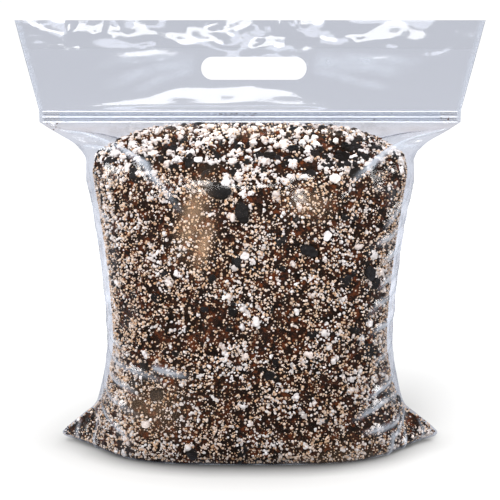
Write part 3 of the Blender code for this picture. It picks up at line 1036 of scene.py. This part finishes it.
# %% Shape the header and move the points
forward = np.zeros(len(now))
for is_front in (True, False):
    mine = (front == is_front) & (film_up > BODY_LENGTH)
    bend, apart = header_shape(film_x[mine], film_up[mine], 0.0 if is_front else 20.0)
    for path, width, height in HOLE_FOLDS:
        apart += crease_height(film_x[mine], film_up[mine], path, width, height)
    forward[mine] = bend + apart * free[mine] * (1 if is_front else -1)
moved = now + vertex_normals(film.data) * (lift * MM)[:, None]
moved[:, 1] -= forward * MM
moved[:, 2] = np.maximum(moved[:, 2], 0)
set_coordinates(film.data, moved)
film.data.attributes.new("crease_whitening_and_shading", "FLOAT", "POINT")
film.data.attributes["crease_whitening_and_shading"].data.foreach_set("value", np.minimum(crease_whitening_and_shading, 1.0))
print("film stands up to", round(float(lift.max()), 1), "mm off the frame's surface")

# %% [markdown]
# The hand hole is a stadium, two half rounds joined by straights, punched through both layers. The
# faces inside it are deleted, and the ragged rim that is left is pulled out to the true outline.

# %% Punch the hand hole
def from_hole_rim(x, up):
    """Distance outside the rim of the hole, and the nearest point of its middle line."""
    straight = (HOLE_WIDTH - HOLE_HEIGHT) / 2
    middle = HOLE_CENTRE[0] + np.clip(x - HOLE_CENTRE[0], -straight, straight)
    reach = np.hypot(x - middle, up - HOLE_CENTRE[1])
    return reach - HOLE_HEIGHT / 2, middle, reach


outside, middle, reach = from_hole_rim(film_x, film_up)
index = np.empty(len(film.data.polygons) * 4, dtype=int)
film.data.polygons.foreach_get("vertices", index)
corners_outside = outside[index.reshape(-1, 4)]
punched = corners_outside.mean(axis=1) < 0
inner = np.zeros(len(film_x), dtype=bool)
inner[index.reshape(-1, 4)[punched].ravel()] = True
outer = np.zeros(len(film_x), dtype=bool)
outer[index.reshape(-1, 4)[~punched].ravel()] = True
rim = inner & outer
points = coordinates(film.data).copy()
stretch = (HOLE_HEIGHT / 2 / np.maximum(reach[rim], 1)) - 1
points[rim, 0] += (film_x - middle)[rim] * stretch * MM
points[rim, 2] += (film_up - HOLE_CENTRE[1])[rim] * stretch * MM
set_coordinates(film.data, points)
pick(film)
bpy.ops.object.mode_set(mode="EDIT")
bpy.ops.mesh.select_all(action="DESELECT")
bpy.ops.object.mode_set(mode="OBJECT")
film.data.polygons.foreach_set("select", punched)
bpy.ops.object.mode_set(mode="EDIT")
bpy.ops.mesh.select_mode(type="FACE")
bpy.ops.mesh.delete(type="FACE")
bpy.ops.object.mode_set(mode="OBJECT")
film.data.shade_smooth()
print("film after punching:", len(film.data.polygons), "faces,", int(punched.sum()), "punched out")


# %% [markdown]
# Low-density polyethylene (LDPE) film is blown thin and clear. It mirrors a few per cent face on
# and much more at a glancing angle, and lets the rest through, a little greyed. A mix of a
# see-through and a glossy shader does that for a sheet with no thickness, and how edge-on the film
# is sets the share of each. Facing is the same on both sides of a sheet, so the back layer, seen
# from inside the bag, mirrors like the front one. Crinkles of a few millimetres bend the
# reflections. Where the film clings to damp mix there is no air behind it, and it mirrors less.
#
# Two finishes lie over that, each where an attribute puts it. Dust from the mix leaves tan smears,
# and one smear is also a painted haze where a soft reflection lies.
# A sharp crease stretches the film until it turns milky, which draws each crease as a pale line; the
# same grey layer also paints a highlight along the creases and shade in the folds by the hand hole.

# %% Film material
FACE_ON_MIRROR = 0.07
EDGE_ON_MIRROR = 0.9
CRINKLE_SIZE = 16.0
CRINKLE_DEPTH = 0.20
CLOUD_SIZE = 22.0
DUST_AND_HAZE_COVER = 0.8
MILKY_AND_SHADED_COVER = 0.6


def film_material():
    """Clear film. film_place is in millimetres, so sizes on the film need no conversion."""
    material, output = new_material("LDPE film")
    place = add(material, "Attribute", attribute_name="film_place")
    crinkle = add(material, "TexNoise", {
        "Vector": place.outputs["Vector"], "Scale": 1 / CRINKLE_SIZE, "Detail": 4.0,
        "Roughness": 0.55, "Distortion": 0.6})
    relief = add(material, "Bump", {
        "Height": crinkle.outputs[0], "Distance": CRINKLE_DEPTH * MM, "Strength": 1.0})
    edge_on = add(material, "LayerWeight", {"Blend": 0.5, "Normal": relief.outputs["Normal"]})
    steep = add(material, "Math", {0: edge_on.outputs["Facing"], 1: 4.0}, operation="POWER")
    mirror_share = add(material, "MapRange", {
        "Value": steep.outputs[0], "To Min": FACE_ON_MIRROR, "To Max": EDGE_ON_MIRROR})
    clouds = add(material, "TexNoise", {
        "Vector": place.outputs["Vector"], "Scale": 1 / CLOUD_SIZE, "Detail": 6.0,
        "Roughness": 0.65})
    where_up = add(material, "SeparateXYZ", {"Vector": place.outputs["Vector"]})
    on_body = add(material, "MapRange", {
        "Value": where_up.outputs["Y"], "From Min": BODY_LENGTH, "From Max": BODY_LENGTH - 10})
    damp = add(material, "MapRange", {
        "Value": clouds.outputs[0], "From Min": 0.60, "From Max": 0.46, "To Max": 0.85})
    clings = add(material, "Math", {0: damp.outputs[0], 1: on_body.outputs[0]}, operation="MULTIPLY")
    dry = add(material, "Math", {0: 1.0, 1: clings.outputs[0]}, operation="SUBTRACT")
    mirrored = add(material, "Math", {0: mirror_share.outputs[0], 1: dry.outputs[0]},
                   operation="MULTIPLY")
    through = add(material, "BsdfTransparent", {"Color": linear("#e3e5eb")})
    sheen = add(material, "BsdfGlossy", {
        "Color": linear("#ffffff"), "Roughness": 0.11, "Normal": relief.outputs["Normal"]})
    both = add(material, "MixShader", {
        "Fac": mirrored.outputs[0], 1: through.outputs["BSDF"], 2: sheen.outputs["BSDF"]})
    smeared = add(material, "Attribute", attribute_name="dust_and_painted_haze")
    settled = add(material, "Math", {0: smeared.outputs["Fac"], 1: clouds.outputs[0]},
                  operation="MULTIPLY")
    amount = add(material, "Math", {0: settled.outputs[0], 1: DUST_AND_HAZE_COVER}, operation="MULTIPLY")
    dust_and_painted_haze = add(material, "BsdfDiffuse", {"Color": linear("#b8977a")})
    dusted = add(material, "MixShader", {
        "Fac": amount.outputs[0], 1: both.outputs[0], 2: dust_and_painted_haze.outputs["BSDF"]})
    # The grey layer is partly the milky whitening of creased film and partly painted: a highlight
    # along the creases and shade in the folds by the hand hole.
    folded = add(material, "Attribute", attribute_name="crease_whitening_and_shading")
    milky_and_shaded = add(material, "Math", {0: folded.outputs["Fac"], 1: MILKY_AND_SHADED_COVER}, operation="MULTIPLY")
    stressed_and_shaded = add(material, "BsdfPrincipled", {
        "Base Color": linear("#9aa0aa"), "Roughness": 0.3, "Normal": relief.outputs["Normal"]})
    creased = add(material, "MixShader", {
        "Fac": milky_and_shaded.outputs[0], 1: dusted.outputs[0], 2: stressed_and_shaded.outputs[0]})
    return finish_material(material, output, creased)


# %% [markdown]
# The smears lie where damp mix was rubbed along the film as the bag was filled; the one at 44 and
# 272 is partly such dust and partly a painted haze where a soft reflection lies. Each is a soft oval
# on the flat film, given by its place, its half sizes, its tilt and its strength. The film is so
# thin that it hardly shades what is behind it, so it casts no shadow here.

# %% Smears and finish of the film
SMEARS_AND_HAZE = (
    # The third smear is partly dust and partly painted haze of a soft reflection.
    (-44, 262, 8, 20, -0.25, 0.6), (-36, 240, 5, 13, -0.3, 0.8), (44, 272, 14, 9, 0.3, 0.3),
    (70, 60, 30, 16, 0.2, 0.25), (-80, 110, 26, 20, 0.0, 0.2))
THIN_DUST = 0.015
DUST_UNDER_ZIP = 0.08

film_x, film_up, film_across = film_places()
front = coordinates(film.data)[:, 1] <= 0
smears = THIN_DUST * (film_up < BODY_LENGTH)
smears = smears + DUST_UNDER_ZIP * np.exp(-((film_up - 350) / 10) ** 2)
for x, up, wide, tall, tilt, amount in SMEARS_AND_HAZE:
    off_axis = film_x - x + tilt * (film_up - up)
    smears += amount * np.exp(-(off_axis / wide) ** 2 - ((film_up - up) / tall) ** 2) * front
film.data.attributes.new("dust_and_painted_haze", "FLOAT", "POINT")
film.data.attributes["dust_and_painted_haze"].data.foreach_set("value", smears)
film.visible_shadow = False
film.visible_diffuse = False
film.data.materials.append(film_material())
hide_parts("bag_film")
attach(film, "root")
print("flat film:", 2 * ZIP_HALF_WIDTH, "x", 2 * FILM_LENGTH, "mm, folded in half")

# %% [markdown]
# ## The zip
#
# The frame's two strips have the true section of a press-to-close zip, so they stay, in the same
# clear LDPE as the film but thicker and greyer, with faint lines drawn along them by the die.
# Each strip is also extruded with fine grip ribs along its whole length, which show as bright and
# dark lines. Both are drawn as thin cylinders that lie half in the film: light ones paint the
# highlight on the ribs, and thinner dark ones paint the shade in the grooves. A few crumbs of mix
# always get caught in a zip.

# %% Zip strips
zip_plastic, zip_output = new_material("LDPE zip strip")
zip_place = add(zip_plastic, "TexCoord")
along_zip = add(zip_plastic, "Mapping", {
    "Vector": zip_place.outputs["Object"], "Scale": (40.0, 400.0, 2500.0)})
drawn_lines = add(zip_plastic, "TexNoise", {"Vector": along_zip.outputs["Vector"], "Scale": 1.0})
zip_relief = add(zip_plastic, "Bump", {"Height": drawn_lines.outputs[0], "Distance": 0.1 * MM})
zip_shader = add(zip_plastic, "BsdfPrincipled", {
    "Base Color": linear("#8d96a4"), "Roughness": 0.22, "Alpha": 0.16,
    "Normal": zip_relief.outputs["Normal"]})
finish_material(zip_plastic, zip_output, zip_shader)
for node in ("zip_rib_strip", "zip_groove_strip"):
    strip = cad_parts[node]
    strip.data.materials.clear()
    strip.data.materials.append(zip_plastic)
    strip.visible_shadow = False

# %% Grip ribs, drawn as painted highlight and shade
RIB_LENGTH = 2 * ZIP_HALF_WIDTH - 6
zip_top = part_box("zip_rib_strip")[1].z


def grip_lines(name, colour, radius_mm, heights):
    """Thin lines along both faces of the zip, in a painted highlight colour for the ribs and a
    painted shade colour for the grooves, each this far below its top in millimetres.
    """
    lines = []
    for side in (-1, 1):
        for down in heights:
            bpy.ops.mesh.primitive_cylinder_add(
                vertices=10, radius=radius_mm * MM, depth=RIB_LENGTH * MM,
                location=(0, side * (ZIP_HALF_GAP + 0.25) * MM, zip_top - down * MM),
                rotation=(0, math.pi / 2, 0))
            lines.append(bpy.context.object)
    pick(*lines)
    bpy.ops.object.join()
    joined = bpy.context.object
    joined.name = name
    bpy.ops.object.transform_apply(location=True, rotation=True, scale=True)
    joined.data.shade_smooth()
    plastic, output = new_material(name.replace("_", " ") + " LDPE")
    shader = add(plastic, "BsdfPrincipled", {
        "Base Color": linear(colour), "Roughness": 0.2, "Alpha": 0.6})
    joined.data.materials.append(finish_material(plastic, output, shader))
    joined.visible_shadow = False
    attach(joined, "root")


# The ribs' highlight and the grooves' shade are painted: light cylinders on the ribs, dark ones
# between them.
grip_lines("zip_grip_painted_highlights", "#d2d4d9", 0.42, (0.6, 4.8, 8.8))
grip_lines("zip_grip_painted_shade", "#76787e", 0.22, (1.9, 3.3, 6.3, 7.6))

# %% [markdown]
# The crumbs lie between the film's layers: most by the middle of the zip, and some at its ends.

# %% Crumbs in the zip
caught_x = np.concatenate([random.uniform(-26, 6, 34), random.uniform(-160, -146, 7),
                           random.uniform(150, 160, 4), random.uniform(-120, 120, 14)])
caught_z = np.concatenate([random.uniform(267.5, 270.5, 34), random.uniform(257, 264, 7),
                           random.uniform(265, 267, 4), random.uniform(262, 265, 14)])
caught = np.stack([caught_x, random.uniform(-1.5, 1.5, len(caught_x)), caught_z], axis=1) * MM
facing = np.tile((0.0, -1.0, 0.0), (len(caught), 1))
crumbs = field_of_grains(
    "crumbs_in_the_zip", [spindle(6)], caught, facing, diameters(len(caught), 0.8, 2.6),
    (0.4, 1.2), PEAT_TINTS, False, 0.15, 1.2)
crumbs.data.materials.append(peat_crumb)
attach(crumbs, "root")
